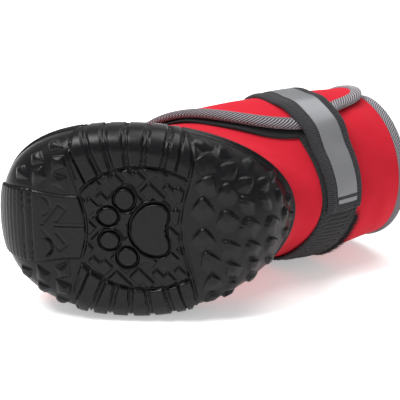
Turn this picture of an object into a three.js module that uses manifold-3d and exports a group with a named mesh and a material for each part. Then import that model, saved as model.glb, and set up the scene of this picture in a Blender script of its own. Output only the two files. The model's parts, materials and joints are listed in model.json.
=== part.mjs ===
// A dog's bootie: cupped rubber outsole, soft hollow upper with a lapped throat flap,
// bound edges, a loop band and a hook strap. Millimetres. The boot is drawn standing, with
// x towards the toe, y towards its left side and z up from the tread, then laid on its right side.
import * as THREE from 'three';
import { mergeVertices } from 'three/addons/utils/BufferGeometryUtils.js';
import Module from 'manifold-3d';

const wasm = await Module();
wasm.setup();

// Driving sizes
const TOE_LENGTH = 60;
const HEEL_LENGTH = 68.5;
const BALL_HALF = 42.9;
const CENTRE_X = 2;
const TOE_SQUARE = 2.45;
const SIDE_HEIGHT = 19.5;
const TOE_HEIGHT = 25;
const HEEL_HEIGHT = 32.5;
const TREAD_DEPTH = 1.3;
const GAP = 0.3;
const WALL = 2;
const FLAP_LIFT = 0.9;
const FLAP_WALL = 2;
const BINDING_WIDTH = 5;
const BINDING_THICK = 3.4;
const BAND_WIDTH = 19;
const BAND_THICK = 1.7;
const STRAP_WIDTH = 20.5;
const STRAP_THICK = 1.8;
const STRAP_LIFT = 3.3;
const STRAP_CREST = 5.1;
const INSOLE_THICK = 2;
const LIE_ROLL = -4.8;
const FLAT_CUT = 0.6;

// Sizes of the tread's panels, grooves and lugs
const OVAL_CENTRE = -4.5;
const OVAL_LONG = 33;
const OVAL_HALF = 27.4;
const MAIN_GROOVE = 1.8;
const OVAL_GROOVE = 1.5;
const PANEL_GROOVE = 1.2;
const RIB_GROOVE = 1.9;
const SHOULDER_TOP = 15.5;
const RIB_ROOT_Y = 25;
const RIB_TIP_Y = 42;
const TREAD_REACH = 50;
const LUG_PITCH = 9.4;
const LUG_ROW = 8.2;
const FIRST_LUG_X = -30.5;

// Sizes of the throat's opening, in stations up the boot and degrees round it
const THROAT_LOW = 5.5;
const THROAT_ANGLE = 48;
const THROAT_TOP_HALF = 22;

const DEGREE = Math.PI / 180;
const FULL_TURN = 2 * Math.PI;

// One row for each section of the last, from the sole up to the collar. Each section is a plane
// from its rear point to its front point; widest says how far along it the widest place is.
const SECTIONS = [
  { rearX: -53, rearZ: 6, frontX: 51.5, frontZ: 6, half: 38.6, widest: 0.535, square: 2.4, sway: 0 },
  { rearX: -60, rearZ: 13, frontX: 56.5, frontZ: 13, half: 40.1, widest: 0.535, square: 2.4, sway: 0 },
  { rearX: -63.6, rearZ: 22, frontX: 59.2, frontZ: 22, half: 40.1, widest: 0.54, square: 2.4, sway: 0 },
  { rearX: -65.2, rearZ: 31, frontX: 54.5, frontZ: 32.5, half: 38.4, widest: 0.55, square: 2.3, sway: 0 },
  { rearX: -70, rearZ: 37, frontX: 41, frontZ: 47, half: 35.2, widest: 0.56, square: 2.1, sway: 0 },
  { rearX: -75.5, rearZ: 41.5, frontX: 24, frontZ: 60, half: 33.4, widest: 0.55, square: 2.05, sway: 0.2 },
  { rearX: -80.5, rearZ: 45.5, frontX: 5, frontZ: 71, half: 33.8, widest: 0.54, square: 2, sway: 0.6 },
  { rearX: -86, rearZ: 49.5, frontX: -14, frontZ: 81, half: 34.8, widest: 0.52, square: 2, sway: 1.2 },
  { rearX: -92, rearZ: 54, frontX: -31, frontZ: 90, half: 35.2, widest: 0.5, square: 2, sway: 2 },
  { rearX: -98.5, rearZ: 58.5, frontX: -45, frontZ: 98, half: 34.8, widest: 0.5, square: 2, sway: 2.6 },
  { rearX: -105, rearZ: 63.5, frontX: -57, frontZ: 105, half: 34, widest: 0.5, square: 2, sway: 3 },
  { rearX: -111, rearZ: 68.5, frontX: -68, frontZ: 111, half: 33, widest: 0.5, square: 2, sway: 3.4 },
];
const COLLAR = SECTIONS.length - 1;

// The flap's free edge, from its low front end up to the collar corner.
const FREE_EDGE = [
  { station: 4.6, angle: 20 },
  { station: 4.85, angle: 52 },
  { station: 5.3, angle: 78 },
  { station: 5.6, angle: 99 },
  { station: 6.0, angle: 112 },
  { station: 6.7, angle: 119 },
  { station: 7.7, angle: 117 },
  { station: 8.8, angle: 110 },
  { station: 9.7, angle: 105 },
  { station: 10.35, angle: 99 },
  { station: 10.7, angle: 89 },
  { station: 10.75, angle: 74 },
];
const SEAM_ANGLE = -40;
const SEAM_LOW = 4.6;
const FLAP_TOP = 10.75;

const signedPower = (value, power) => Math.sign(value) * Math.abs(value) ** power;

// Catmull-Rom through a table's rows, column by column.
function tableAt(rows, place) {
  const last = rows.length - 1;
  const index = Math.min(Math.max(Math.floor(place), 0), last - 1);
  const f = place - index;
  const result = {};
  for (const key of Object.keys(rows[0])) {
    const b = rows[index][key];
    const c = rows[index + 1][key];
    const a = index > 0 ? rows[index - 1][key] : 2 * b - c;
    const d = index < last - 1 ? rows[index + 2][key] : 2 * c - b;
    result[key] = 0.5 * (2 * b + (c - a) * f + (2 * a - 5 * b + 4 * c - d) * f ** 2
      + (3 * b - a - 3 * c + d) * f ** 3);
  }
  return result;
}

// A point of the last: station up the boot, angle round it (0 front, 90 left), offset outwards.
function lastPoint(station, angle, offset = 0) {
  const row = tableAt(SECTIONS, station);
  const spanX = row.frontX - row.rearX;
  const spanZ = row.frontZ - row.rearZ;
  const span = Math.hypot(spanX, spanZ);
  const cosine = Math.cos(angle * DEGREE);
  const sine = Math.sin(angle * DEGREE);
  const power = cosine > 0 ? 2 / row.square : 1;
  const reach = cosine > 0 ? span * (1 - row.widest) + offset : span * row.widest + offset;
  const along = reach * signedPower(cosine, power) + span * row.widest;
  return new THREE.Vector3(
    row.rearX + (spanX / span) * along,
    row.sway + (row.half + offset) * signedPower(sine, power),
    row.rearZ + (spanZ / span) * along,
  );
}

// The last's outward direction at a place on it.
function lastNormal(station, angle) {
  const round = lastPoint(station, angle + 1).sub(lastPoint(station, angle - 1));
  const rise = lastPoint(station + 0.05, angle).sub(lastPoint(station - 0.05, angle));
  return round.cross(rise).normalize();
}

// A point of the outsole's outside: level 0 to 1 is the tread, 1 to 2 the shoulder, 2 to 3 the wall.
function solePoint(angle, level, inset = 0) {
  const cosine = Math.cos(angle * DEGREE);
  const sine = Math.sin(angle * DEGREE);
  const front = cosine > 0;
  const power = front ? 2 / TOE_SQUARE : 1;
  const mix = (side, toe, heel, curve) => side + ((front ? toe : heel) - side) * Math.abs(cosine) ** curve;
  const shoulder = mix(0.21, 0.4, 0.42, 2);
  const shoulderHeight = mix(11, 20, 27, 2);
  const rim = mix(SIDE_HEIGHT, TOE_HEIGHT, HEEL_HEIGHT, 2.5);
  const turn = THREE.MathUtils.clamp(level - 1, 0, 1) * Math.PI / 2;
  const wall = THREE.MathUtils.clamp(level - 2, 0, 1);
  const lean = mix(-0.02, -0.02, 0.008, 2);
  const spread = level < 1 ? level * (1 - shoulder)
    : 1 - shoulder + shoulder * Math.sin(turn) + lean * wall ** 2;
  const length = (front ? TOE_LENGTH : HEEL_LENGTH) - inset;
  return new THREE.Vector3(
    CENTRE_X + length * signedPower(cosine, power) * spread,
    (BALL_HALF - inset) * signedPower(sine, power) * spread,
    inset + (shoulderHeight - inset) * (1 - Math.cos(turn)) + wall * (rim - shoulderHeight),
  );
}

// Joins rings of points into a closed mesh; open runs are closed with a fan at each end.
function skin(rings, loop = false) {
  const size = rings[0].length;
  const points = rings.flat();
  const faces = [];
  const steps = loop ? rings.length : rings.length - 1;
  for (let i = 0; i < steps; i += 1) {
    const near = i * size;
    const far = ((i + 1) % rings.length) * size;
    for (let j = 0; j < size; j += 1) {
      const k = (j + 1) % size;
      faces.push(near + j, near + k, far + k, near + j, far + k, far + j);
    }
  }
  if (!loop) {
    for (const [start, flip] of [[0, true], [(rings.length - 1) * size, false]]) {
      const middle = new THREE.Vector3();
      for (let j = 0; j < size; j += 1) middle.addScaledVector(points[start + j], 1 / size);
      points.push(middle);
      for (let j = 0; j < size; j += 1) {
        const k = (j + 1) % size;
        const pair = flip ? [start + k, start + j] : [start + j, start + k];
        faces.push(...pair, points.length - 1);
      }
    }
  }
  return outward(points, faces);
}

// Builds the geometry, turned the right way out by the sign of its volume.
function outward(points, faces) {
  let volume = 0;
  for (let i = 0; i < faces.length; i += 3) {
    const [a, b, c] = [points[faces[i]], points[faces[i + 1]], points[faces[i + 2]]];
    volume += a.dot(new THREE.Vector3().crossVectors(b, c));
  }
  if (volume < 0) faces.reverse();
  const geometry = new THREE.BufferGeometry();
  geometry.setAttribute('position', new THREE.Float32BufferAttribute(points.flatMap((p) => p.toArray()), 3));
  geometry.setIndex(faces);
  return geometry;
}

function toSolid(geometry) {
  const bare = geometry.clone();
  bare.deleteAttribute('normal');
  bare.deleteAttribute('uv');
  const merged = mergeVertices(bare, 1e-4);
  return new wasm.Manifold(new wasm.Mesh({
    numProp: 3,
    vertProperties: new Float32Array(merged.attributes.position.array),
    triVerts: new Uint32Array(merged.index.array),
  }));
}

function fromSolid(solid) {
  const mesh = solid.getMesh();
  const geometry = new THREE.BufferGeometry();
  geometry.setAttribute('position', new THREE.BufferAttribute(mesh.vertProperties, 3));
  geometry.setIndex(new THREE.BufferAttribute(mesh.triVerts, 1));
  return geometry;
}

const range = (count) => Array.from({ length: count }, (_, i) => i);
const ANGLES = range(44).map((i) => (i * 360) / 44);
const UPPER_STEPS = 14;
const STATION_STEP = COLLAR / UPPER_STEPS;
const blend = THREE.MathUtils.lerp;

// The last as a filled body standing clear of the upper by the gap, used to hollow the outsole.
// It shares the upper's stations and angles, so their facets run side by side.
function hollowCore() {
  const stations = [-0.045, ...range(7).map((i) => i * STATION_STEP)];
  return toSolid(skin(stations.map((station) => ANGLES.map((angle) => lastPoint(station, angle, GAP)))));
}

// A closed outsole blank, before the tread is cut.
function soleBlank(inset) {
  const levels = [0.5, 1, 1.25, 1.5, 1.75, 2, 3];
  const rings = levels.map((level) => ANGLES.map((angle) => solePoint(angle, level, inset)));
  return toSolid(skin(rings));
}

// A plan outline raised into an upright prism.
function prism(outline, low, high) {
  const shape = new THREE.Shape(outline.map(([x, y]) => new THREE.Vector2(x, y)));
  const geometry = new THREE.ExtrudeGeometry(shape, { depth: high - low, bevelEnabled: false });
  geometry.translate(0, 0, low);
  return toSolid(geometry);
}

// A plan ribbon of even width along a curve given as a function of 0 to 1.
function ribbon(curve, steps, width, high) {
  const sides = [[], []];
  for (const i of range(steps + 1)) {
    const at = curve(i / steps);
    const back = curve(i / steps - 0.01);
    const ahead = curve(i / steps + 0.01);
    const length = Math.hypot(ahead[0] - back[0], ahead[1] - back[1]);
    const across = [(back[1] - ahead[1]) / length, (ahead[0] - back[0]) / length];
    sides[0].push([at[0] + across[0] * width / 2, at[1] + across[1] * width / 2]);
    sides[1].unshift([at[0] - across[0] * width / 2, at[1] - across[1] * width / 2]);
  }
  return prism([...sides[0], ...sides[1]], -1, high);
}

const easing = (y) => (1 - Math.cos(Math.PI * Math.min(Math.abs(y) / 36, 1))) / 2;
const toeGroove = (y) => 20 + 7.8 * easing(y);
const heelGroove = (y) => -20.5 - 6.6 * easing(y);
const panelHalf = (x) => 14.2 + 2.8 * THREE.MathUtils.smoothstep(x, 27, 50);

// The side ribs' grooves fan out: each one's x where it leaves the oval and at the rim.
const RIB_GROOVES = [
  { root: 13.7, tip: 21.4 },
  { root: 7.6, tip: 12.1 },
  { root: 1.3, tip: 3.2 },
  { root: -5, tip: -6.3 },
  { root: -13, tip: -16.3 },
  { root: -19, tip: -22.2 },
];

// The main grooves: across the ball, round the oval, along the toe panel and down the side ribs.
function treadGrooves() {
  const oval = (turn) => [OVAL_CENTRE + OVAL_LONG * Math.cos(turn), OVAL_HALF * Math.sin(turn)];
  const acrossBall = (edge) => (t) => {
    const y = blend(-TREAD_REACH, TREAD_REACH, t);
    return [edge(y), y];
  };
  const cuts = [
    ribbon(acrossBall(toeGroove), 12, MAIN_GROOVE, SHOULDER_TOP),
    ribbon(acrossBall(heelGroove), 12, MAIN_GROOVE, SHOULDER_TOP),
  ];
  for (const side of [1, -1]) {
    cuts.push(ribbon((t) => {
      const [x, y] = oval(blend(0.62, 2.36, t));
      return [x, side * y];
    }, 8, OVAL_GROOVE, 6));
    cuts.push(ribbon((t) => {
      const x = blend(22, 66, t);
      return [x, side * panelHalf(x)];
    }, 4, PANEL_GROOVE, 12));
    for (const { root, tip } of RIB_GROOVES) {
      const startY = OVAL_HALF * Math.sqrt(1 - ((root - OVAL_CENTRE) / OVAL_LONG) ** 2);
      cuts.push(ribbon((t) => {
        const y = blend(startY, TREAD_REACH, t);
        return [root + ((tip - root) * (y - RIB_ROOT_Y)) / (RIB_TIP_Y - RIB_ROOT_Y), side * y];
      }, 1, RIB_GROOVE, SHOULDER_TOP));
    }
  }
  return cuts.reduce((sum, cut) => sum.add(cut));
}

// A leaf-shaped lug: pointed at one end, with two bulged flanks.
function leaf(x, y, length, width, heading) {
  const outline = [[0.5, 0], [-0.1, 0.5], [-0.5, 0.2], [-0.5, -0.2], [-0.1, -0.5]];
  const cosine = Math.cos(heading * DEGREE);
  const sine = Math.sin(heading * DEGREE);
  return prism(outline.map(([a, b]) => [
    x + a * length * cosine - b * width * sine,
    y + a * length * sine + b * width * cosine,
  ]), -1, 40);
}

// The lugs in each toe corner, on the left side.
const TOE_LUGS = [
  { x: 31.5, y: 20, heading: 40 },
  { x: 33, y: 28.5, heading: 80 },
  { x: 40, y: 23, heading: 30 },
  { x: 41, y: 32, heading: 60 },
  { x: 48.5, y: 24, heading: 45 },
  { x: 34, y: 36.5, heading: 70 },
];

// The lug fields at the heel and at both toe corners, with the leaf lugs left standing in them.
function lugFields() {
  const heelField = prism([
    ...range(13).map((i) => {
      const y = blend(-TREAD_REACH, TREAD_REACH, i / 12);
      return [heelGroove(y) - 0.2, y];
    }),
    [-80, TREAD_REACH], [-80, -TREAD_REACH],
  ], -1, 20);
  const leaves = [];
  for (const row of range(5)) {
    for (const column of range(row > 2 ? 5 : 7)) {
      const y = (column - (row > 2 ? 2 : 3) + 0.5 * (row % 2)) * LUG_PITCH;
      const x = FIRST_LUG_X - LUG_ROW * row - 0.05 * Math.abs(y);
      leaves.push(leaf(x, y, 7.4, 6.6, (row * 37 + column * 71) % 50 - 25));
    }
  }
  const fields = [heelField];
  for (const side of [1, -1]) {
    const edge = range(9).map((i) => blend(68, 27, i / 8));
    fields.push(prism([
      ...edge.map((x) => [x, side * (panelHalf(x) + 1)]),
      [28, side * 30], [29, side * TREAD_REACH], [68, side * TREAD_REACH],
    ], -1, 15));
    for (const { x, y, heading } of TOE_LUGS) leaves.push(leaf(x, side * y, 7.6, 7, side * heading));
  }
  return fields.reduce((sum, field) => sum.add(field)).subtract(leaves.reduce((sum, item) => sum.add(item)));
}

function outsole() {
  const cuts = treadGrooves().add(lugFields()).subtract(soleBlank(TREAD_DEPTH));
  return soleBlank(0).subtract(cuts).subtract(hollowCore());
}

// The upper's wall: one hollow solid, open under the foot and at the collar, with the throat cut out.
function upper() {
  const stations = range(UPPER_STEPS + 1).map((i) => i * STATION_STEP);
  const rings = ANGLES.map((angle) => {
    const outer = stations.map((station) => lastPoint(station, angle));
    const inner = stations.map((station) => lastPoint(station, angle, -WALL)).reverse();
    return [...outer, ...inner];
  });
  const throat = skin(range(15).map((i) => {
    const station = blend(THROAT_LOW, COLLAR + 0.4, i / 14);
    const half = blend(2, THROAT_TOP_HALF, Math.min(1, i / 6));
    const at = (side, offset) => lastPoint(station, THROAT_ANGLE + side * half, offset);
    return [at(-1, 4), at(0, 5), at(1, 4), at(1, -6), at(0, -7), at(-1, -6)];
  }));
  return toSolid(skin(rings, true)).subtract(toSolid(throat));
}

// A patch of cloth laid over the last: its place on the last is a function of two fractions.
function cloth(place, steps, across, low, high) {
  const rings = range(steps + 1).map((i) => {
    const spots = range(across + 1).map((j) => place(i / steps, j / across));
    const top = spots.map(([station, angle]) => lastPoint(station, angle, high(angle)));
    const under = spots.map(([station, angle]) => lastPoint(station, angle, low(angle))).reverse();
    return [...top, ...under];
  });
  return skin(rings);
}

function freeEdge(fraction) {
  const row = tableAt(FREE_EDGE, fraction * (FREE_EDGE.length - 1));
  return [row.station, row.angle];
}

function throatFlap() {
  const place = (rise, across) => {
    const [station, angle] = freeEdge(rise);
    return [blend(blend(SEAM_LOW, FLAP_TOP, rise), station, across), blend(SEAM_ANGLE, angle, across)];
  };
  return toSolid(cloth(place, 18, 14, () => FLAP_LIFT, () => FLAP_LIFT + FLAP_WALL));
}

// A bound edge: a six-sided bead run along an edge, standing out from it in the cloth's own plane.
function binding(path, steps, middle) {
  const rings = range(steps + 1).map((i) => {
    const at = (fraction) => lastPoint(...path(fraction), middle(path(fraction)[1]));
    const point = at(i / steps);
    const tangent = at(i / steps + 0.004).sub(at(i / steps - 0.004)).normalize();
    const [station, angle] = path(i / steps);
    const lift = lastNormal(station, angle);
    const out = new THREE.Vector3().crossVectors(tangent, lift).normalize();
    return range(6).map((k) => {
      const turn = (k * FULL_TURN) / 6;
      return point.clone()
        .addScaledVector(out, GAP + (BINDING_WIDTH / 2) * (1 + Math.cos(turn)))
        .addScaledVector(lift, (BINDING_THICK / 2) * Math.sin(turn) / Math.sin(Math.PI / 3));
    });
  });
  return toSolid(skin(rings));
}

// The flap's binding follows the free edge up, turns the corner and ends at the right-hand seam.
function flapBinding() {
  const path = (fraction) => {
    if (fraction < 0.66) return freeEdge(Math.max(fraction, 0) / 0.66);
    return [FLAP_TOP, blend(74, SEAM_ANGLE, (fraction - 0.66) / 0.34)];
  };
  return binding(path, 44, () => FLAP_LIFT + FLAP_WALL / 2 + 0.5);
}

// The collar's binding runs round the back from one side of the throat to the other, tucked
// inwards where the flap's binding lies over it.
function collarBinding() {
  const tuck = (angle) => 1 - THREE.MathUtils.smoothstep(angle, 88, 106)
    + THREE.MathUtils.smoothstep(angle, 300, 318);
  return binding((fraction) => [COLLAR, blend(385, 72, fraction)], 36, (angle) => (
    blend(-WALL / 2, -BINDING_THICK / 2, tuck(angle))));
}

const material = (color, roughness) => new THREE.MeshStandardMaterial({ color, roughness, metalness: 0 });
const RUBBER = material(0x2b2b2d, 0.6);
const RED_CLOTH = material(0xc8253a, 0.85);
const LINING = material(0x1d1d20, 0.95);
const GREY_TRIM = material(0x8d8d92, 0.8);
const BLACK_WEB = material(0x1b1b1d, 0.9);

// The bands run round the shaft on one slanted line, lowest at the back.
const bandStation = (angle) => 6.7 + 1.1 * (1 - Math.cos((angle - 185) * DEGREE));

function bandPlace(width, from, to) {
  return (around, across) => {
    const angle = blend(from, to, around);
    const station = bandStation(angle);
    const rate = lastPoint(station + 0.1, angle).distanceTo(lastPoint(station - 0.1, angle)) / 0.2;
    return [station + ((across - 0.5) * width) / rate, angle];
  };
}

function loopBand() {
  return toSolid(cloth(bandPlace(BAND_WIDTH, 131, 296), 26, 2, () => GAP, () => GAP + BAND_THICK));
}

// The strap runs from the right side round the front, over the flap, to its end at the back.
function strap() {
  const lift = (angle) => {
    const before = 1 - THREE.MathUtils.smoothstep(angle, 128, 148);
    const overFlap = THREE.MathUtils.smoothstep(angle, -70, -45) * before;
    const overEdge = THREE.MathUtils.smoothstep(angle, 95, 112) * before;
    return blend(GAP + BAND_THICK + GAP, STRAP_LIFT, overFlap) + (STRAP_CREST - STRAP_LIFT) * overEdge;
  };
  return toSolid(cloth(bandPlace(STRAP_WIDTH, -86, 188), 42, 2, lift, (angle) => lift(angle) + STRAP_THICK));
}

function insole() {
  const rings = [0, 1].map((level) => range(48).map((j) => {
    const point = lastPoint(0.05, j * 7.5, -WALL - 2 * GAP);
    return point.setZ(6.35 + level * INSOLE_THICK);
  }));
  return toSolid(skin(rings));
}

const PIECES = [
  ['outsole', outsole(), RUBBER],
  ['upper', upper(), RED_CLOTH],
  ['insole', insole(), LINING],
  ['throat_flap', throatFlap(), RED_CLOTH],
  ['flap_binding', flapBinding(), GREY_TRIM],
  ['collar_binding', collarBinding(), GREY_TRIM],
  ['loop_band', loopBand(), BLACK_WEB],
  ['strap', strap(), BLACK_WEB],
];

// Lying on its right side: the toe to -x, the tread to -y, the boot's left side up, and a small
// roll that brings the shaft down to the floor beside the sole's edge.
const lying = new THREE.Matrix4().makeRotationX(LIE_ROLL * DEGREE).multiply(
  new THREE.Matrix4().makeBasis(
    new THREE.Vector3(-1, 0, 0), new THREE.Vector3(0, 0, 1), new THREE.Vector3(0, 1, 0),
  ),
);

// The floor presses a small flat into whatever rests on it.
function floorCut() {
  const reach = new THREE.Box3();
  for (const [, solid] of PIECES) {
    reach.expandByObject(new THREE.Mesh(fromSolid(solid).applyMatrix4(lying)));
  }
  const slab = new THREE.BoxGeometry(500, 500, 40);
  slab.translate(0, 0, reach.min.z + FLAT_CUT - 20);
  return toSolid(slab.applyMatrix4(lying.clone().invert()));
}

const boot = new THREE.Group();
const pressed = floorCut();
for (const [name, solid, look] of PIECES) {
  const mesh = new THREE.Mesh(fromSolid(solid.subtract(pressed)), look);
  mesh.name = name;
  boot.add(mesh);
}
boot.applyMatrix4(lying);
const extent = new THREE.Box3().setFromObject(boot, true);
const bootie = new THREE.Group();
bootie.add(boot);
boot.position.set(-(extent.min.x + extent.max.x) / 2, -(extent.min.y + extent.max.y) / 2, -extent.min.z);
export default bootie;
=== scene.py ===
"""A dog's bootie lying on its right side: a cupped rubber outsole with a lugged tread, a red
softshell upper with a lapped throat flap, grey twill bindings and a black hook-and-loop strap."""

import json

import bmesh
import bpy
import numpy as np
from mathutils import Matrix, Vector

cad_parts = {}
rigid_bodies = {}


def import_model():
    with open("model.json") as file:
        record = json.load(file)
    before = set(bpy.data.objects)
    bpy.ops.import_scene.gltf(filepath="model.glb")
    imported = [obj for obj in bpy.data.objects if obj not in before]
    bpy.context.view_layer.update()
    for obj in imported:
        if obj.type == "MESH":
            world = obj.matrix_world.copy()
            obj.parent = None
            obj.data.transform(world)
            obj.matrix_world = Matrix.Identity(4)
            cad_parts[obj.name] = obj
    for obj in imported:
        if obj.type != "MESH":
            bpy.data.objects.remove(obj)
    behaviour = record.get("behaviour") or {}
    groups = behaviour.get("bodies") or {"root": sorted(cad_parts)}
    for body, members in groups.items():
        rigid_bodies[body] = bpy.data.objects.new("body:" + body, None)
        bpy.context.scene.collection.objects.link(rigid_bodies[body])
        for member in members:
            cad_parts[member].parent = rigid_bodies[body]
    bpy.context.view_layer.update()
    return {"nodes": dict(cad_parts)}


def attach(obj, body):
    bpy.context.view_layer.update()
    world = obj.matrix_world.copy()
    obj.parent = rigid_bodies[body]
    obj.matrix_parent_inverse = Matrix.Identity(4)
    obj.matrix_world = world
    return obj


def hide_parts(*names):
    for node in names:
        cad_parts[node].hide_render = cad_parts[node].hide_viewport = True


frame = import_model()

# --- Outsole ---------------------------------------------------------------------------------
# One moulding of black rubber, cupped up round the foot. The tread is moulded in: an oval panel
# with a paw, ribs that run over both shoulders, a toe panel with an arrow, and scale lugs.

LIE_ROLL = np.radians(4.8)
LAID_AT = np.array([-26.2234, -55.9170, 43.0700])
LAID_AXES = np.array([[-1, 0, 0], [0, np.sin(LIE_ROLL), np.cos(LIE_ROLL)],
                      [0, np.cos(LIE_ROLL), -np.sin(LIE_ROLL)]])


def laid(points):
    """Boot millimetres (x to the toe, y to the left side, z up from the tread) laid on the right
    side in metres: the toe to -x, the tread to -y, rolled 4.8 degrees, and flat where it rests."""
    placed = np.asarray(points, float) @ LAID_AXES.T + LAID_AT
    placed[..., 2] = np.maximum(placed[..., 2], 0.02)
    return placed / 1000


def smoothstep(low, high, value):
    """0 below low, 1 above high, and 3t^2 - 2t^3 between them."""
    t = np.clip((value - low) / (high - low), 0, 1)
    return t * t * (3 - 2 * t)


def signed_power(value, power):
    """The size of value raised to power, with value's sign."""
    return np.sign(value) * np.abs(value) ** power


def unit(vectors):
    """Each vector divided by its length."""
    return vectors / np.maximum(np.linalg.norm(vectors, axis=-1, keepdims=True), 1e-12)


def grid_piece(name, points, around=False, measure=None, caps=False):
    """A mesh on a grid of points, each quad joining four neighbours. around closes the columns on
    themselves, and caps put one face over the first row and one over the last. measure is
    millimetres (along, across) at each grid line, and becomes the UV map in metres."""
    rows, columns = points.shape[:2]
    i, j = np.meshgrid(np.arange(rows - 1), np.arange(columns if around else columns - 1),
                       indexing="ij")
    i, j = i.ravel(), j.ravel()
    corners = [(i, j), (i, j + 1), (i + 1, j + 1), (i + 1, j)]
    faces = np.stack([a * columns + b % columns for a, b in corners], -1).tolist()
    quads = len(faces)
    if caps:
        faces.append(list(range(columns))[::-1])
        faces.append(list(range((rows - 1) * columns, rows * columns)))
    mesh = bpy.data.meshes.new(name)
    mesh.from_pydata(laid(points).reshape(-1, 3).tolist(), [], faces)
    if measure is not None:
        layer = mesh.uv_layers.new(name="cloth")
        flat = np.zeros((len(mesh.loops), 2), np.float32)
        flat[:4 * quads] = np.stack([measure[a, b] for a, b in corners], 1).reshape(-1, 2) / 1000
        layer.data.foreach_set("uv", flat.ravel())
    mesh.polygons.foreach_set("use_smooth", np.ones(len(faces), bool))
    piece = bpy.data.objects.new(name, mesh)
    bpy.context.scene.collection.objects.link(piece)
    return piece


TOE_LENGTH = 60
HEEL_LENGTH = 68.5
BALL_HALF = 42.9
SOLE_CENTRE = 2
SOLE_AROUND = 600
SHOULDER_RING = 100
SOLE_LEVELS = np.concatenate([np.linspace(0.004, 1, 86), np.linspace(1, 2, 53)[1:],
                              np.linspace(2, 3, 12)[1:]])


def sole_point(angle, level):
    """The outsole's smooth outside. Level 0 to 1 spreads over the flat tread, 1 to 2 turns up a
    quarter ellipse, 2 to 3 climbs the wall; the plan is an ellipse behind and a squarer one in
    front, and each height is blended from the side to the toe or heel by a power of the cosine."""
    cosine, sine = np.cos(angle), np.sin(angle)
    front = cosine > 0
    power = np.where(front, 2 / 2.45, 1)

    def mix(side, toe, heel, curve):
        return side + (np.where(front, toe, heel) - side) * np.abs(cosine) ** curve

    shoulder = mix(0.21, 0.40, 0.42, 2)
    shoulder_height = mix(11, 20, 27, 2)
    rim = mix(19.5, 25, 32.5, 2.5)
    turn = np.clip(level - 1, 0, 1) * np.pi / 2
    wall = np.clip(level - 2, 0, 1)
    spread = np.where(level < 1, level * (1 - shoulder), 1 - shoulder + shoulder * np.sin(turn))
    spread = spread + mix(-0.02, -0.02, 0.008, 2) * wall ** 2
    length = np.where(front, TOE_LENGTH, HEEL_LENGTH)
    return np.stack([SOLE_CENTRE + length * signed_power(cosine, power) * spread,
                     BALL_HALF * signed_power(sine, power) * spread,
                     shoulder_height * (1 - np.cos(turn)) + wall * (rim - shoulder_height)], -1)


def even_angles(count):
    """Angles whose points on the sole's outline are evenly spaced along it."""
    dense = np.linspace(0, 2 * np.pi, 14401)
    outline = sole_point(dense, np.full(dense.shape, 2.0))
    run = np.concatenate([[0], np.cumsum(np.linalg.norm(np.diff(outline, axis=0), axis=1))])
    return np.interp(np.arange(count) / count * run[-1], run, dense)


# Lines down the side ribs: u at the oval (v 25) and at the rim (v 50); pair is a sunk strip's width.
SIDE_RIBS = [
    {"root": 21.8, "tip": 33.0, "pair": 0.0},
    {"root": 13.7, "tip": 24.8, "pair": 1.9},
    {"root": 7.6, "tip": 14.2, "pair": 1.9},
    {"root": 1.3, "tip": 3.4, "pair": 1.7},
    {"root": -5.0, "tip": -7.9, "pair": 1.7},
    {"root": -13.0, "tip": -19.2, "pair": 1.9},
    {"root": -19.0, "tip": -25.6, "pair": 0.0},
]

# Lugs: place on the unrolled sole, the way the point faces (90 is the left side), and size.
LUG_COLUMNS = ("u", "v", "facing", "long", "wide")
HEEL_LUGS = [dict(zip(LUG_COLUMNS, row)) for row in (
    (-33, 39.5, 20, 8.5, 8.0),
    (-43.5, 36.5, 60, 7.5, 9.5),
    (-33, 30, 110, 9.5, 9.5),
    (-43, 26.5, 140, 9.0, 7.5),
    (-56, 29.5, 130, 8.0, 7.5),
    (-70, 22.5, 150, 9.0, 5.5),
    (-60.5, 19.5, 140, 8.5, 6.5),
    (-50, 20, 150, 8.5, 7.0),
    (-32.5, 19.5, 115, 9.0, 8.5),
    (-41.5, 16, 85, 9.0, 8.5),
    (-50, 11, 60, 8.5, 6.0),
    (-60, 11.5, 65, 8.5, 4.5),
    (-70, 11.5, 75, 8.5, 4.5),
    (-30.5, 9, 90, 9.5, 9.0),
    (-41, 4, 80, 9.0, 9.5),
    (-51, 0.5, 75, 8.5, 9.0),
    (-63, -0.5, 70, 8.5, 9.5),
    (-73, 1.5, 80, 8.0, 6.0),
    (-30.5, -4.5, 90, 9.0, 9.5),
    (-42, -9, 60, 9.0, 8.5),
    (-52.5, -10, 70, 8.0, 8.0),
    (-63, -10.5, 60, 8.5, 8.5),
    (-33, -14.5, 65, 9.0, 8.5),
    (-43.5, -19, 60, 8.5, 7.5),
    (-54, -19, 55, 8.0, 7.5),
    (-34.5, -25, 80, 8.5, 9.0),
    (-44.5, -29, 60, 8.0, 8.0),
    (-35.5, -35.5, 60, 8.0, 9.0),
    (-65, -21, 40, 8.0, 7.0),
    (-55.5, -29, 40, 8.0, 7.0),
    (-45, -39, 50, 7.5, 8.0),
    (-74.5, -9, 60, 8.0, 6.5),
    (-81, 7, 90, 7.5, 5.0),
    (-82, -3, 80, 7.5, 5.0),
)]
TOE_LUGS = [dict(zip(LUG_COLUMNS, row)) for row in (
    (30.5, 19.5, 60, 9.5, 8.0),
    (31.8, 28, 125, 9.5, 8.5),
    (41, 22.5, 115, 9.5, 8.0),
    (42, 30.5, 20, 8.5, 7.5),
    (50, 23.5, 30, 9.0, 7.5),
    (34, 37, 15, 9.0, 7.0),
)]
PANEL_LUGS = [dict(zip(LUG_COLUMNS, row)) for row in (
    (39.3, 9.2, 75, 8.0, 7.0),
    (38.8, -9.2, 75, 8.0, 7.0),
)]
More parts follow.
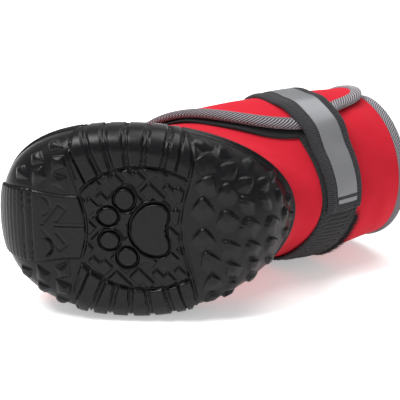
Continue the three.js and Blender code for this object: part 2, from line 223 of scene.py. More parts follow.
PAW_TOES = [
    {"u": 3.0, "v": 13.2, "radius": 3.9, "taller": 1.12},
    {"u": 10.2, "v": 5.6, "radius": 3.9, "taller": 0.92},
    {"u": 10.0, "v": -5.4, "radius": 3.9, "taller": 0.92},
    {"u": 2.4, "v": -12.8, "radius": 3.9, "taller": 1.0},
]
GROOVE_DEPTH = 1.7
FIELD_DEPTH = 1.5
TOE_GROOVE = 20
HEEL_GROOVE = -20.5
OVAL_CENTRE = -4.5
OVAL_LENGTH = 33
OVAL_HALF = 27.4
ARROW_TIP = 37.6
ARROW_SLOPE = 1.28


def cut(distance, width, soft=0.45):
    """1 on a line of this width, falling to 0 over a soft edge on each side."""
    return 1 - smoothstep(width / 2 - soft / 2, width / 2 + soft, np.abs(distance))


def scale_lug(u, v, lug):
    """0 to 1 over one lug. In its own axes it comes to a point in front, is round behind, is
    highest near its point, and slopes down behind and to each side of a middle ridge."""
    facing = np.radians(lug["facing"])
    du, dv = u - lug["u"], v - lug["v"]
    p = (du * np.cos(facing) + dv * np.sin(facing)) / (lug["long"] * 0.56)
    q = (dv * np.cos(facing) - du * np.sin(facing)) / (lug["wide"] * 0.57)
    half = np.where(p > -0.25, np.clip((1 - p) / 1.25, 0, 1) ** 0.55,
                    np.sqrt(np.clip(1 - ((p + 0.25) / 0.75) ** 2, 0, 1)))
    inside = (half - np.abs(q)) * lug["wide"] / 2 * 0.8
    crown = 0.2 + 1.0 * smoothstep(-1.2, 0.7, p) - 0.55 * np.abs(q)
    return smoothstep(-0.05, 0.42, inside) * crown


def kite_lug(u, v, lug):
    """0 to 1 over one faceted lug: a kite, widest a third of the way back from its front point,
    with ridges from its peak to its four points."""
    facing = np.radians(lug["facing"])
    du, dv = u - lug["u"], v - lug["v"]
    p = (du * np.cos(facing) + dv * np.sin(facing)) / (lug["long"] / 2) - 0.25
    q = np.abs(dv * np.cos(facing) - du * np.sin(facing)) / (lug["wide"] / 2)
    half = np.where(p > 0, 1 - p / 0.8, 1 + p / 1.3)
    inside = (half - q) * lug["wide"] / 2 * 0.75
    crown = 0.35 + 0.75 * np.clip(np.minimum(half - 0.9 * q, 0.85), 0, 1)
    return smoothstep(-0.05, 0.42, inside) * crown


def panel_blocks(u, v):
    """0 to 1 over stepped bricks laid at 45 degrees: brick rows in turned axes, every other row
    moved half a brick, each brick with one corner notched out."""
    a = (u + v) / np.sqrt(2) + 1.5
    b = (v - u) / np.sqrt(2) + 2.2
    row = np.floor(b / 7.8)
    a = a + 5.8 * (row % 2)
    column = np.floor(a / 11.6)
    p, q = a - column * 11.6, b - row * 7.8
    brick = np.minimum(np.minimum(p - 0.85, 10.75 - p), np.minimum(q - 0.85, 6.95 - q))
    turn = (row + column) % 2
    notch = np.where(turn > 0, np.minimum(p - 6.6, q - 4.4), np.minimum(4.6 - p, 3.2 - q))
    return smoothstep(0, 0.45, np.minimum(brick, -notch))


def pad_edge(u, v):
    """Millimetres outside the pad's edge, from its radius by angle about its middle."""
    du, dv = u + 8.0, v + 0.3
    angle = np.degrees(np.abs(np.arctan2(dv, du)))
    radius = np.interp(angle, [0, 42, 78, 106, 118, 130, 142, 160, 180],
                       [8.3, 8.9, 10.4, 11.7, 11.9, 11.2, 9.2, 6.6, 5.9])
    return (np.hypot(du, dv) - radius) * 0.92


def tread_relief(u, v, level):
    """Millimetres that the tread stands above its smooth blank, everywhere 0 or less, from the
    unrolled place (u towards the toe, v to the left side) and the level up the wall."""
    side = np.abs(v)
    ease = (1 - np.cos(np.pi * np.clip(side / 36, 0, 1))) / 2
    from_toe_groove = u - (TOE_GROOVE + 7.8 * ease + 0.12 * np.clip(side - 36, 0, 30))
    from_heel_groove = u - HEEL_GROOVE + 6.6 * ease
    in_toe = smoothstep(-0.2, 0.2, from_toe_groove)
    in_heel = smoothstep(-0.2, 0.2, -from_heel_groove)
    in_ball = (1 - in_toe) * (1 - in_heel)
    radius = np.hypot((u - OVAL_CENTRE) / OVAL_LENGTH, v / OVAL_HALF)
    from_oval = (radius - 1) * 29
    in_oval = in_ball * (1 - smoothstep(-0.3, 0.3, from_oval))

    # the ribs over both shoulders
    ribs = np.zeros(u.shape)
    for rib in SIDE_RIBS:
        line = rib["root"] + (rib["tip"] - rib["root"]) * (side - 25) / 25
        strip = rib["pair"] / 2
        ribs = np.minimum(ribs, -1.7 * cut(u - line - strip, 0.5, 0.5))
        ribs = np.minimum(ribs, -1.7 * cut(u - line + strip, 0.5, 0.5))
        if strip:
            ribs = np.minimum(ribs, -0.75 * cut(u - line, rib["pair"], 0.3))

    # the oval panel: blocks, then the paw's toes and pad in their ring grooves
    oval = -1.05 * (1 - panel_blocks(u, v))
    pad = pad_edge(u, v)
    paw = [pad] + [(np.hypot(u - toe["u"], (v - toe["v"]) / toe["taller"]) - toe["radius"])
                   for toe in PAW_TOES]
    for edge in paw:
        near = 1 - smoothstep(1.6, 2.1, edge)
        oval = oval * (1 - near)
        oval = np.minimum(oval, -GROOVE_DEPTH * cut(edge - 0.75, 0.95, 0.4))
    dome = [0.15 * (1 - smoothstep(-3.9, 0, edge)) for edge in paw]
    oval = oval + np.max(dome, axis=0)

    # the toe: a panel with an arrow between two fields of lugs, and fine ribs up the bumper
    half = 14.2 + 2.8 * smoothstep(27, 50, u)
    in_panel = smoothstep(-0.2, 0.2, half - side)
    panel = np.full(u.shape, -0.55)
    behind_tip = ARROW_TIP - u
    arrow = (side - ARROW_SLOPE * behind_tip) / 1.62
    along = (behind_tip + ARROW_SLOPE * side) / 1.62
    bar = (1 - smoothstep(1.7, 2.0, np.abs(arrow))) * (1 - smoothstep(11.3, 11.6, along))
    front_edge = cut(arrow - 2.0, 0.45, 0.4) * (side > 0.8)
    back_edge = cut(arrow + 2.0, 0.6, 0.4) * (side > 2.2)
    end_edge = cut(along - 11.8, 0.45, 0.4) * (np.abs(arrow) < 2.2)
    outline = np.maximum(np.maximum(front_edge, back_edge) * (along < 12), end_edge)
    panel = panel + 0.45 * bar
    panel = np.minimum(panel, -0.5 - 1.2 * outline)
    for rail in (-0.25, 1.35):
        panel = panel + 0.45 * cut(v - rail, 0.35, 0.35) * smoothstep(20, 22, u) * (u < 33.5)
    panel = np.minimum(panel, -0.5 - 1.1 * cut(v - 0.55, 0.45, 0.35) * smoothstep(20, 22, u) * (u < 34))
    for lug in PANEL_LUGS:
        panel = np.maximum(panel, -0.75 + 1.5 * scale_lug(u, v, lug))
        back = np.hypot(u - lug["u"] - 0.6, v - lug["v"] - 0.4)
        panel = np.minimum(panel, -0.5 - 1.2 * cut(back - 4.3, 0.6, 0.5) * smoothstep(0, 2, lug["u"] - u))
    bumper = 0.22 * np.cos((u - 51) * 2 * np.pi / 2.35) - 0.35
    panel = panel + (bumper + 0.45) * smoothstep(48.6, 49.4, u) * (1 - smoothstep(66, 70, u))
    panel = np.minimum(panel, -0.45 - 1.25 * cut(u - 44.6, 0.7, 0.4))
    panel = np.minimum(panel, -0.45 - 0.95 * cut(u - 48.2, 0.4, 0.4))
    corner = np.full(u.shape, -FIELD_DEPTH)
    for lug in TOE_LUGS:
        for hand in (1, -1):
            corner = np.maximum(corner, -FIELD_DEPTH + 1.1 * FIELD_DEPTH * kite_lug(u, v * hand, lug))
    toe = in_panel * panel + (1 - in_panel) * corner
    toe = np.minimum(toe, -GROOVE_DEPTH * cut(half - side, 0.8, 0.5))

    # the heel: scale lugs on a sunk field
    heel = np.full(u.shape, -FIELD_DEPTH)
    for lug in HEEL_LUGS:
        heel = np.maximum(heel, -FIELD_DEPTH + 1.12 * FIELD_DEPTH * scale_lug(u, v, lug))

    relief = in_toe * toe + in_heel * heel + in_ball * ribs * (1 - in_oval) + in_oval * oval
    relief = np.minimum(relief, -GROOVE_DEPTH * in_ball * cut(from_oval, 1.15, 0.5))
    relief = np.minimum(relief, -GROOVE_DEPTH * cut(from_toe_groove, 1.35, 0.5))
    relief = np.minimum(relief, -0.8 * cut(from_toe_groove + 1.75, 0.35, 0.35) * (side > 22))
    relief = np.minimum(relief, -GROOVE_DEPTH * cut(from_heel_groove, 1.35, 0.5))
    relief = relief + 0.5 * cut(from_heel_groove + 1.15, 0.5, 0.5)
    lip = smoothstep(2.72, 2.9, level)
    lip = lip * (1 - 0.45 * in_ball)
    return relief * (1 - lip)


def outsole_mesh():
    """The outside is the blank moved along its own normal by the relief; the inside runs from the
    rim down and in to the middle, and both ends close on a small ring."""
    angles = even_angles(SOLE_AROUND)[None, :]
    levels = SOLE_LEVELS[:, None]
    blank = sole_point(angles, levels)
    step = np.linalg.norm(np.diff(blank, axis=0), axis=-1)
    first = np.linalg.norm(blank[:1, :, :2] - [SOLE_CENTRE, 0], axis=-1)
    run = np.concatenate([first, first + np.cumsum(step, axis=0)])
    ray = unit(blank[SHOULDER_RING, :, :2] - [SOLE_CENTRE, 0])
    u = SOLE_CENTRE + run * ray[:, 0]
    v = run * ray[:, 1]
    round_way = np.roll(blank, -1, 1) - np.roll(blank, 1, 1)
    out = unit(np.cross(round_way, np.gradient(blank, axis=0)))
    relief = tread_relief(u, v, levels + 0 * u)
    outside = blank + out * relief[..., None]
    rim = outside[-1]
    inward = unit(np.stack([-out[-1, :, 0], -out[-1, :, 1], 0 * out[-1, :, 0]], -1))
    rounds = [(0.35, 0.28), (0.8, 0.3), (1.15, 0.0), (1.35, -2.5)]
    inside = [rim + inward * depth + [0, 0, rise] for depth, rise in rounds]
    low = sole_point(angles[0], np.full(angles[0].shape, 1.35)) * [0.93, 0.93, 1] + [0, 0, 2.4]
    floor = [low * [k, k, 0] + [0, 0, 4.4] for k in (0.8, 0.4, 0.004)]
    grid = np.concatenate([outside, np.stack(inside + [low] + floor)])
    # How deep each outside point lies, as a share of a groove's depth; the rubber finish paints shade
    # into the deepest grooves from it.
    sunk = np.zeros(grid.shape[:2])
    sunk[:len(relief)] = np.clip(-relief / GROOVE_DEPTH, 0, 1)
    return grid, sunk


def outward(piece):
    """Turns the whole mesh over if its signed volume is negative."""
    mesh = piece.data
    mesh.calc_loop_triangles()
    corners = np.empty(len(mesh.loop_triangles) * 3, np.int32)
    mesh.loop_triangles.foreach_get("vertices", corners)
    places = np.empty(len(mesh.vertices) * 3)
    mesh.vertices.foreach_get("co", places)
    a, b, c = np.moveaxis(places.reshape(-1, 3)[corners].reshape(-1, 3, 3), 1, 0)
    if np.einsum("ij,ij->", a, np.cross(b, c)) < 0:
        mesh.flip_normals()
    return piece


class Finish:
    """A material under construction: its node tree, its shader, and short ways to add nodes."""

    def __init__(self, name):
        self.material = bpy.data.materials.new(name)
        self.material.use_nodes = True
        self.nodes = self.material.node_tree.nodes
        self.links = self.material.node_tree.links
        self.shader = self.nodes["Principled BSDF"]

    def node(self, kind, settings=None, **inputs):
        """A node of this kind, with its settings, and its inputs set or linked by name."""
        made = self.nodes.new("ShaderNode" + kind)
        for key, value in (settings or {}).items():
            setattr(made, key, value)
        for key, value in inputs.items():
            socket = made.inputs[int(key[1:])] if key[0] == "i" and key[1:].isdigit() else None
            socket = socket or made.inputs[key.replace("_", " ")]
            if isinstance(value, bpy.types.NodeSocket):
                self.links.new(value, socket)
            else:
                socket.default_value = value
        return made

    def objects(self, scale):
        """Object coordinates, scaled."""
        place = self.node("TexCoord").outputs["Object"]
        return self.node("Mapping", Vector=place, Scale=scale).outputs["Vector"]

    def noise(self, vector, scale, detail=3, rough=0.55):
        """Fractal noise between 0 and 1."""
        made = self.node("TexNoise", Vector=vector, Scale=scale, Detail=detail, Roughness=rough)
        return made.outputs["Fac"]

    def math(self, operation, first, second=0.0):
        """One math node."""
        return self.node("Math", {"operation": operation}, i0=first, i1=second).outputs[0]

    def ramp(self, factor, *stops):
        """A colour ramp with (place, colour) stops."""
        made = self.node("ValToRGB", Fac=factor)
        line = made.color_ramp
        while len(line.elements) < len(stops):
            line.elements.new(0.5)
        for element, (place, colour) in zip(line.elements, stops):
            element.position = place
            element.color = (*colour, 1)
        return made.outputs["Color"]

    def bump(self, height, distance, strength=1.0, under=None):
        """A bump of this depth in metres, laid over another."""
        extra = {"Normal": under} if under else {}
        made = self.node("Bump", Height=height, Distance=distance, Strength=strength, **extra)
        return made.outputs["Normal"]

    def set(self, **inputs):
        """Sets or links the shader's inputs by name."""
        for key, value in inputs.items():
            socket = self.shader.inputs[key.replace("_", " ")]
            if isinstance(value, bpy.types.NodeSocket):
                self.links.new(value, socket)
            else:
                socket.default_value = value
        return self


def rubber_finish():
    """Matte black rubber: mould grain, faint scuffs that are paler and rougher, soft sheen, and
    painted shade that darkens the deepest grooves.
    """
    made = Finish("moulded_rubber")
    place = made.objects((1, 1, 1))
    cloud = made.noise(place, 45, 4)
    scuff = made.noise(made.objects((1.0, 0.35, 1.6)), 420, 5, 0.7)
    worn = made.math("MULTIPLY", made.ramp(scuff, (0.52, (0, 0, 0)), (0.72, (1, 1, 1))), cloud)
    skin = made.ramp(worn, (0.0, (0.0026, 0.0025, 0.0033)), (0.9, (0.011, 0.011, 0.013)))
    # Painted shade: the colour falls to 0.15 of itself where a point lies deepest in a groove.
    sunk = made.node("Attribute", {"attribute_name": "sunk"}).outputs["Fac"]
    shade = made.ramp(sunk, (0.89, (1, 1, 1)), (0.99, (0.15, 0.15, 0.15)))
    colour = made.node("Mix", {"data_type": "RGBA", "blend_type": "MULTIPLY"}, i0=1.0, i6=skin,
                       i7=shade).outputs[2]
    dull = made.node("MapRange", Value=cloud, To_Min=0.24, To_Max=0.40).outputs[0]
    grain = made.noise(place, 2600, 2)
    pits = made.noise(place, 700, 3)
    normal = made.bump(grain, 0.00006, 0.5, made.bump(pits, 0.00012, 0.35))
    made.set(Base_Color=colour, Roughness=dull, Normal=normal, Specular_IOR_Level=0.20)
    return made.material


outsole_grid, outsole_groove_shade = outsole_mesh()
outsole = outward(grid_piece("outsole_moulded", outsole_grid, around=True, caps=True))
# The groove depth per point, carried to the rubber finish for its painted groove shade.
groove_shade_layer = outsole.data.attributes.new("sunk", "FLOAT", "POINT")
groove_shade_layer.data.foreach_set("value", outsole_groove_shade.astype(np.float32).ravel())
outsole.data.materials.append(rubber_finish())
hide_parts("outsole")
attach(outsole, "root")

# --- Upper -----------------------------------------------------------------------------------
# One sock of red softshell on a black lining, bonded into the outsole and cut open in front of
# the shaft. It is soft: it creases where the shaft leans back and dents along the strap.

# Each section of the last is a plane from its rear point to its front point, in millimetres.
SECTIONS = {
    "rear_x": [-53, -60, -63.6, -65.2, -70, -75.5, -80.5, -86, -92, -98.5, -105, -111],
    "rear_z": [6, 13, 22, 31, 37, 41.5, 45.5, 49.5, 54, 58.5, 63.5, 68.5],
    "front_x": [51.5, 56.5, 59.2, 54.5, 41, 24, 5, -14, -31, -45, -57, -68],
    "front_z": [6, 13, 22, 32.5, 46.2, 58.6, 71, 81, 90, 98, 105, 111],
    "half": [38.6, 40.1, 40.1, 38, 33.6, 31.9, 33.4, 34.8, 35.2, 34.8, 34, 33],
    "widest": [0.535, 0.535, 0.54, 0.55, 0.56, 0.55, 0.54, 0.52, 0.5, 0.5, 0.5, 0.5],
    "square": [2.4, 2.4, 2.4, 2.2, 2, 2, 2, 2, 2, 2, 2, 2],
    "sway": [0, 0, 0, 0, 0, 0.2, 0.6, 1.2, 2, 2.6, 3, 3.4],
}
COLLAR = 11
WALL = 2


def through(column, place):
    """A smooth curve through a column's values, Catmull-Rom, straight beyond its ends."""
    values = np.asarray(column, float)
    last = len(values) - 1
    index = np.clip(np.floor(place).astype(int), 0, last - 1)
    f = place - index
    b, c = values[index], values[index + 1]
    a = np.where(index > 0, values[np.maximum(index - 1, 0)], 2 * b - c)
    d = np.where(index < last - 1, values[np.minimum(index + 2, last)], 2 * c - b)
    return 0.5 * (2 * b + (c - a) * f + (2 * a - 5 * b + 4 * c - d) * f ** 2
                  + (3 * b - a - 3 * c + d) * f ** 3)


def last_point(station, degrees, offset=0.0):
    """A place on the last: station up the boot, degrees round it (0 front, 90 left), offset
    outwards. Each section is half an ellipse behind its widest place and a squarer one before."""
    station, degrees, offset = np.broadcast_arrays(np.asarray(station, float), degrees, offset)
    row = {name: through(column, station) for name, column in SECTIONS.items()}
    span_x, span_z = row["front_x"] - row["rear_x"], row["front_z"] - row["rear_z"]
    span = np.hypot(span_x, span_z)
    cosine, sine = np.cos(np.radians(degrees)), np.sin(np.radians(degrees))
    power = np.where(cosine > 0, 2 / row["square"], 1)
    reach = np.where(cosine > 0, span * (1 - row["widest"]), span * row["widest"]) + offset
    along = reach * signed_power(cosine, power) + span * row["widest"]
    return np.stack([row["rear_x"] + span_x / span * along,
                     row["sway"] + (row["half"] + offset) * signed_power(sine, power),
                     row["rear_z"] + span_z / span * along], -1)


def last_normal(station, degrees):
    """The last's outward direction: across the way round and the way up."""
    round_way = last_point(station, degrees + 1) - last_point(station, degrees - 1)
    rise = last_point(station + 0.05, degrees) - last_point(station - 0.05, degrees)
    return unit(np.cross(round_way, rise))


# Soft troughs in the cloth: a line from one place on the last to another, its width and depth.
CREASES = [
    {"from": (3.6, 150), "to": (4.6, 215), "wide": 3.4, "deep": 0.9},
    {"from": (4.5, 165), "to": (5.3, 228), "wide": 3.0, "deep": 0.8},
    {"from": (2.9, 120), "to": (4.1, 142), "wide": 3.2, "deep": 0.5},
    {"from": (3.3, 228), "to": (4.9, 262), "wide": 3.6, "deep": 0.8},
    {"from": (8.9, 112), "to": (9.9, 150), "wide": 4.0, "deep": 0.5},
    {"from": (9.3, 190), "to": (10.3, 236), "wide": 4.0, "deep": 0.6},
    {"from": (8.8, 250), "to": (10.0, 285), "wide": 3.6, "deep": 0.7},
    {"from": (3.4, 20), "to": (4.0, 60), "wide": 4.0, "deep": 0.5},
    {"from": (3.2, 300), "to": (4.2, 345), "wide": 3.8, "deep": 0.6},
]


def creased(station, degrees):
    """Millimetres of soft relief: each crease is a trough with a low ridge beside it, fading at
    its ends; long swells between; and a dent along the strap's lower edge."""
    relief = 0.35 * np.sin(np.radians(degrees) * 3 + station * 0.9) * smoothstep(2.5, 4.5, station)
    relief = relief + 0.2 * np.sin(np.radians(degrees) * 5 - station * 1.7 + 1)
    for crease in CREASES:
        (s0, a0), (s1, a1) = crease["from"], crease["to"]
        du, dv = (a1 - a0) * 0.62, (s1 - s0) * 8
        length = np.hypot(du, dv)
        pu, pv = (degrees - a0) * 0.62, (station - s0) * 8
        t = (pu * du + pv * dv) / length ** 2
        side = (pv * du - pu * dv) / length + 1.5 * np.sin(np.clip(t, 0, 1) * np.pi)
        fade = smoothstep(-0.15, 0.3, t) * (1 - smoothstep(0.7, 1.15, t))
        x = side / crease["wide"]
        relief = relief + crease["deep"] * fade * (0.55 * np.exp(-(x - 1.3) ** 2)
                                                   - np.exp(-x ** 2))
    return relief * smoothstep(1.6, 3.0, station) * (1 - 0.7 * smoothstep(10, 11, station))


THROAT_DEGREES = 48
THROAT_LOW = 5.5
THROAT_SPREAD = 2.53
THROAT_NARROW = 2
THROAT_WIDE = 22


def throat_half(station):
    """Half the throat's opening in degrees: none below its low end, narrow there, then wider in
    step with the height until it reaches its full half width."""
    wider = np.clip((station - THROAT_LOW) / THROAT_SPREAD, 0, 1)
    half = THROAT_NARROW + (THROAT_WIDE - THROAT_NARROW) * wider
    return np.where(station > THROAT_LOW, half, 0)


UPPER_ROWS = 120
UPPER_COLUMNS = 330
HIDDEN_TUCK = 3.4


def upper_grid():
    """The outer face, all round from one side of the throat to the other; the two ends meet
    below the throat. Behind, inside the rubber cup, it is tucked in out of sight."""
    station = np.linspace(0, COLLAR, UPPER_ROWS)[:, None]
    half = throat_half(station)
    degrees = THROAT_DEGREES + half + (360 - 2 * half) * np.linspace(0, 1, UPPER_COLUMNS)[None, :]
    behind = np.clip(-np.cos(np.radians(degrees)), 0, 1) ** 2
    tuck = HIDDEN_TUCK * behind * smoothstep(0.3, 1.0, station) * (1 - smoothstep(2.9, 3.25, station))
    return last_point(station, degrees, creased(station, degrees) - tuck)


def walled(piece, thickness, lining=None):
    """Merges what meets, then gives the sheet its thickness inwards; the inner face takes the
    lining."""
    shape = bmesh.new()
    shape.from_mesh(piece.data)
    bmesh.ops.remove_doubles(shape, verts=shape.verts, dist=2e-5)
    shape.to_mesh(piece.data)
    shape.free()
    solid = piece.modifiers.new("wall", "SOLIDIFY")
    solid.thickness = thickness / 1000
    solid.offset = -1
    if lining:
        piece.data.materials.append(lining)
        solid.material_offset = 1
    return piece


def softshell_finish():
    """Red softshell: a fine knit face with a faint nap, softly uneven in tone."""
    made = Finish("red_softshell")
    cloud = made.noise(made.objects((1, 1, 1)), 38, 4)
    fleck = made.noise(made.objects((1, 1, 1)), 2400, 2)
    tone = made.math("ADD", made.math("MULTIPLY", cloud, 0.75), made.math("MULTIPLY", fleck, 0.25))
    colour = made.ramp(tone, (0.3, (0.40, 0.008, 0.019)), (0.7, (0.50, 0.012, 0.026)))
    knit = made.node("TexVoronoi", Vector=made.objects((1, 1, 1)), Scale=1500.0)
    normal = made.bump(knit.outputs["Distance"], 0.00010, 0.45,
                       made.bump(made.noise(made.objects((1, 1, 1)), 160, 3), 0.0008, 0.25))
    made.set(Base_Color=colour, Roughness=0.82, Normal=normal, Specular_IOR_Level=0.12,
             Sheen_Weight=0.08, Sheen_Roughness=0.5)
    made.shader.inputs["Sheen Tint"].default_value = (1.0, 0.35, 0.4, 1)
    return made.material


def lining_finish():
    """Black brushed lining, with a short soft nap."""
    made = Finish("black_lining")
    nap = made.noise(made.objects((1, 1, 1)), 1300, 4, 0.65)
    colour = made.ramp(nap, (0.3, (0.008, 0.008, 0.009)), (0.75, (0.022, 0.022, 0.024)))
    made.set(Base_Color=colour, Roughness=0.95, Normal=made.bump(nap, 0.0003, 0.6),
             Specular_IOR_Level=0.15, Sheen_Weight=0.15)
    return made.material


red_softshell = softshell_finish()
black_lining = lining_finish()
upper = grid_piece("upper_sock", upper_grid())
upper.data.materials.append(red_softshell)
walled(upper, WALL, black_lining)
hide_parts("upper")
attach(upper, "root")

# --- Insole ----------------------------------------------------------------------------------
# A flat die-cut insole of black foam faced with brushed lining, laid loose in the cup. Its CAD
# shape is right, so only its finish changes.

insole = frame["nodes"]["insole"]
insole.data.materials.clear()
insole.data.materials.append(black_lining)

# --- Throat flap -----------------------------------------------------------------------------
# A flap of the same lined softshell, sewn down along the right side of the front and lapped over
# the throat to the left. Its front edge stands off the upper, and its black lining shows there as
# a strip lying on the upper under the edge; the strip is also painted shadow for the shaded gap.

# The flap's free edge, from its low front end up to the corner beside the collar.
FREE_EDGE = {
    "station": [5.4, 5.6, 5.6, 5.6, 5.95, 6.7, 7.7, 8.8, 9.7, 10.35, 10.7, 10.75],
    "degrees": [20, 48, 74, 97, 112, 119, 117, 110, 105, 99, 89, 74],
}
SEAM_DEGREES = -40
SEAM_LOW = 5.1
FLAP_TOP = 10.75
FLAP_LIFT = 0.9
FLAP_WALL = 2
FLAP_ROWS = 180
FLAP_COLUMNS = 150


def free_edge(rise):
    """(station, degrees) at a fraction of the way up the free edge."""
    place = rise * (len(FREE_EDGE["station"]) - 1)
    return through(FREE_EDGE["station"], place), through(FREE_EDGE["degrees"], place)


def flap_stand(rise):
    """Millimetres more that the free edge stands off the upper, most beside the strap."""
    return 1.5 * smoothstep(0.0, 0.16, rise) * (1 - smoothstep(0.40, 0.52, rise))


def flap_grid():
    """A patch between the seam and the free edge, blended straight across in station and angle,
    with two soft waves and the stand of its free edge."""
    rise = np.linspace(0, 1, FLAP_ROWS)[:, None]
    across = np.linspace(0, 1, FLAP_COLUMNS)[None, :]
    edge_station, edge_degrees = free_edge(rise)
    seam_station = SEAM_LOW + (FLAP_TOP - SEAM_LOW) * rise
    station = seam_station * (1 - across) + edge_station * across
    degrees = SEAM_DEGREES * (1 - across) + edge_degrees * across
    wave = 0.35 * np.sin(across * 9 + rise * 4) * smoothstep(0.15, 0.5, across)
    wave = wave * (1 - smoothstep(0.8, 1.0, across))
    stand = flap_stand(rise) * smoothstep(0.55, 1.0, across)
    return last_point(station, degrees, FLAP_LIFT + FLAP_WALL + 0.35 + wave + stand)


flap = grid_piece("throat_flap_cloth", flap_grid())
flap.data.materials.append(red_softshell)
walled(flap, FLAP_WALL, black_lining)
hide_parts("throat_flap")
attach(flap, "root")


def slid(station, degrees, direction, distance):
    """The place on the last this many millimetres away in a direction along its surface: the
    direction solved for its shares up the boot and round it, in two half steps."""
    for _ in range(2):
        up = (last_point(station + 0.02, degrees) - last_point(station - 0.02, degrees)) / 0.04
        way = (last_point(station, degrees + 0.2) - last_point(station, degrees - 0.2)) / 0.4
        uu, uw, ww = (np.sum(a * b, -1) for a, b in ((up, up), (up, way), (way, way)))
        du, dw = np.sum(up * direction, -1), np.sum(way * direction, -1)
        bottom = uu * ww - uw * uw
        station = station + (du * ww - dw * uw) / bottom * distance / 2
        degrees = degrees + (dw * uu - du * uw) / bottom * distance / 2
    return station, degrees


def edge_frame(path, fraction, offset):
    """Point, way along, outward normal and direction out of the cloth at places on an edge."""
    station, degrees = path(fraction)
    ahead, behind = path(fraction + 0.003), path(fraction - 0.003)
    point = last_point(station, degrees, offset)
    way = unit(last_point(*ahead, offset) - last_point(*behind, offset))
    normal = last_normal(station, degrees)
    return point, way, normal, unit(np.cross(way, normal))


def flap_lining_shadow_grid():
    """The lining's lower lip: it starts under the flap and shows past the binding, most beside
    the strap. It is black lining and also painted shadow, darkening the upper where the gap under
    the flap's edge is shaded."""
    rise = np.linspace(0.02, 0.62, 220)
    _, _, _, out = edge_frame(free_edge, rise, 0)
    station, degrees = free_edge(rise)
    shown = 5.3 + 2.3 * smoothstep(0.14, 0.46, rise) - 1.2 * (1 - smoothstep(0.03, 0.12, rise))
    rows = []
    for part in np.linspace(-0.35, 1, 14):
        s, d = slid(station, degrees, out, shown * part)
        rows.append(last_point(s, d, 1.3 + 0.25 * np.sin(rise * 46) * max(part, 0) ** 2))
    return np.stack(rows, 1)


# A black strip on the upper under the flap's edge: the flap's lining, and painted shadow for the shaded
# gap there.
flap_lining_shadow_lip = grid_piece("throat_flap_lining_and_shadow", flap_lining_shadow_grid())
flap_lining_shadow_lip.data.materials.append(black_lining)
walled(flap_lining_shadow_lip, 0.9)
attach(flap_lining_shadow_lip, "root")

# --- Bindings --------------------------------------------------------------------------------
# Grey twill tape folded over the raw edges of the flap and the collar and sewn through. Its
# weave runs across it on a slant, light cords with dark gaps; the near-black of the gaps is painted
# shade in the valleys between the cords.

TAPE_THICK = 3.4
TAPE_RINGS = 1500
TAPE_SIDES = 30
FLAP_TAPE_WIDTH = 5.6
FLAP_TAPE_PITCH = 1.5
FLAP_TAPE_SLANT = -1.1
COLLAR_TAPE_WIDTH = 5.0
COLLAR_TAPE_PITCH = 1.2
COLLAR_TAPE_SLANT = 1.0
CORNER_AT = 0.66
CORNER_DEGREES = 74


def bound_edge(path, offset, width, pitch, slant):
    """Grid and measure of a tape: a squarish oval section carried along an edge, its inner side
    lapping the cloth, its skin raised in slanting cords a pitch apart."""
    fraction = np.linspace(0.002, 0.998, TAPE_RINGS)
    point, _, normal, out = edge_frame(path, fraction, offset(fraction))
    run = np.concatenate([[0], np.cumsum(np.linalg.norm(np.diff(point, axis=0), axis=-1))])
    turns = np.linspace(0, 2 * np.pi, TAPE_SIDES + 1)[None, :]
    turn = turns[:, :-1]
    girth = width * 0.41 * turns
    cord = np.cos((run[:, None] + slant * girth[:, :-1]) * 2 * np.pi / pitch)
    taper = np.minimum(smoothstep(-0.4, 2.2, run), smoothstep(-0.4, 2.2, run[-1] - run))[:, None]
    half_width = (width / 2 + 0.10 * cord) * (0.6 + 0.4 * taper)
    half_thick = (TAPE_THICK / 2 + 0.18 * cord) * (0.5 + 0.5 * taper)
    sideways = half_width * signed_power(np.cos(turn), 0.8)
    upward = half_thick * signed_power(np.sin(turn), 0.85)
    shift = width / 2 - 0.5
    grid = (point[:, None] + out[:, None] * (shift + sideways)[..., None]
            + normal[:, None] * upward[..., None])
    measure = np.stack(np.broadcast_arrays(run[:, None], girth), -1)
    return grid, measure


def twill_finish(name, pitch, slant, light, dark):
    """Twill tape: cords slanting across it in grey yarn with dark gaps, the gaps' darkness painted
    shade in the valleys between the cords, and loose fibres.
    """
    made = Finish(name)
    uv = made.node("UVMap", {"uv_map": "cloth"}).outputs["UV"]
    parts = made.node("SeparateXYZ", Vector=uv).outputs
    wander = made.noise(made.objects((1, 1, 1)), 900, 2)
    along = made.math("ADD", parts["X"], made.math("MULTIPLY", parts["Y"], slant))
    along = made.math("ADD", along, made.math("MULTIPLY", wander, 0.00025))
    turns = made.math("MULTIPLY", along, 2000 * np.pi / pitch)
    wave = made.math("COSINE", turns)
    level = made.node("MapRange", Value=wave, From_Min=-1.0).outputs[0]
    yarn = made.noise(made.objects((1, 1, 1)), 2600, 3, 0.7)
    mixed = made.math("ADD", made.math("MULTIPLY", level, 0.72), made.math("MULTIPLY", yarn, 0.4))
    # Painted shade: the colour runs to the dark stop in the valleys between the cords, in step with the
    # cords of the tape's shape.
    colour = made.ramp(mixed, (0.28, dark), (0.55, tuple(0.5 * c for c in light)), (0.85, light))
    made.set(Base_Color=colour, Roughness=0.78, Normal=made.bump(mixed, 0.0003, 0.7),
             Specular_IOR_Level=0.3, Sheen_Weight=0.2)
    return made.material


def flap_edge(fraction):
    """Up the free edge for two thirds of the way, then round the corner and along the top."""
    up = free_edge(np.clip(fraction, 0, CORNER_AT) / CORNER_AT)
    top = CORNER_DEGREES + (SEAM_DEGREES - CORNER_DEGREES) * (fraction - CORNER_AT) / 0.34
    rounded = fraction > CORNER_AT
    return np.where(rounded, FLAP_TOP, up[0]), np.where(rounded, top, up[1])


def collar_edge(fraction):
    """Along the collar from one side of the throat, round the back, to the other."""
    return np.full(np.shape(fraction), float(COLLAR)), 385 + (72 - 385) * fraction


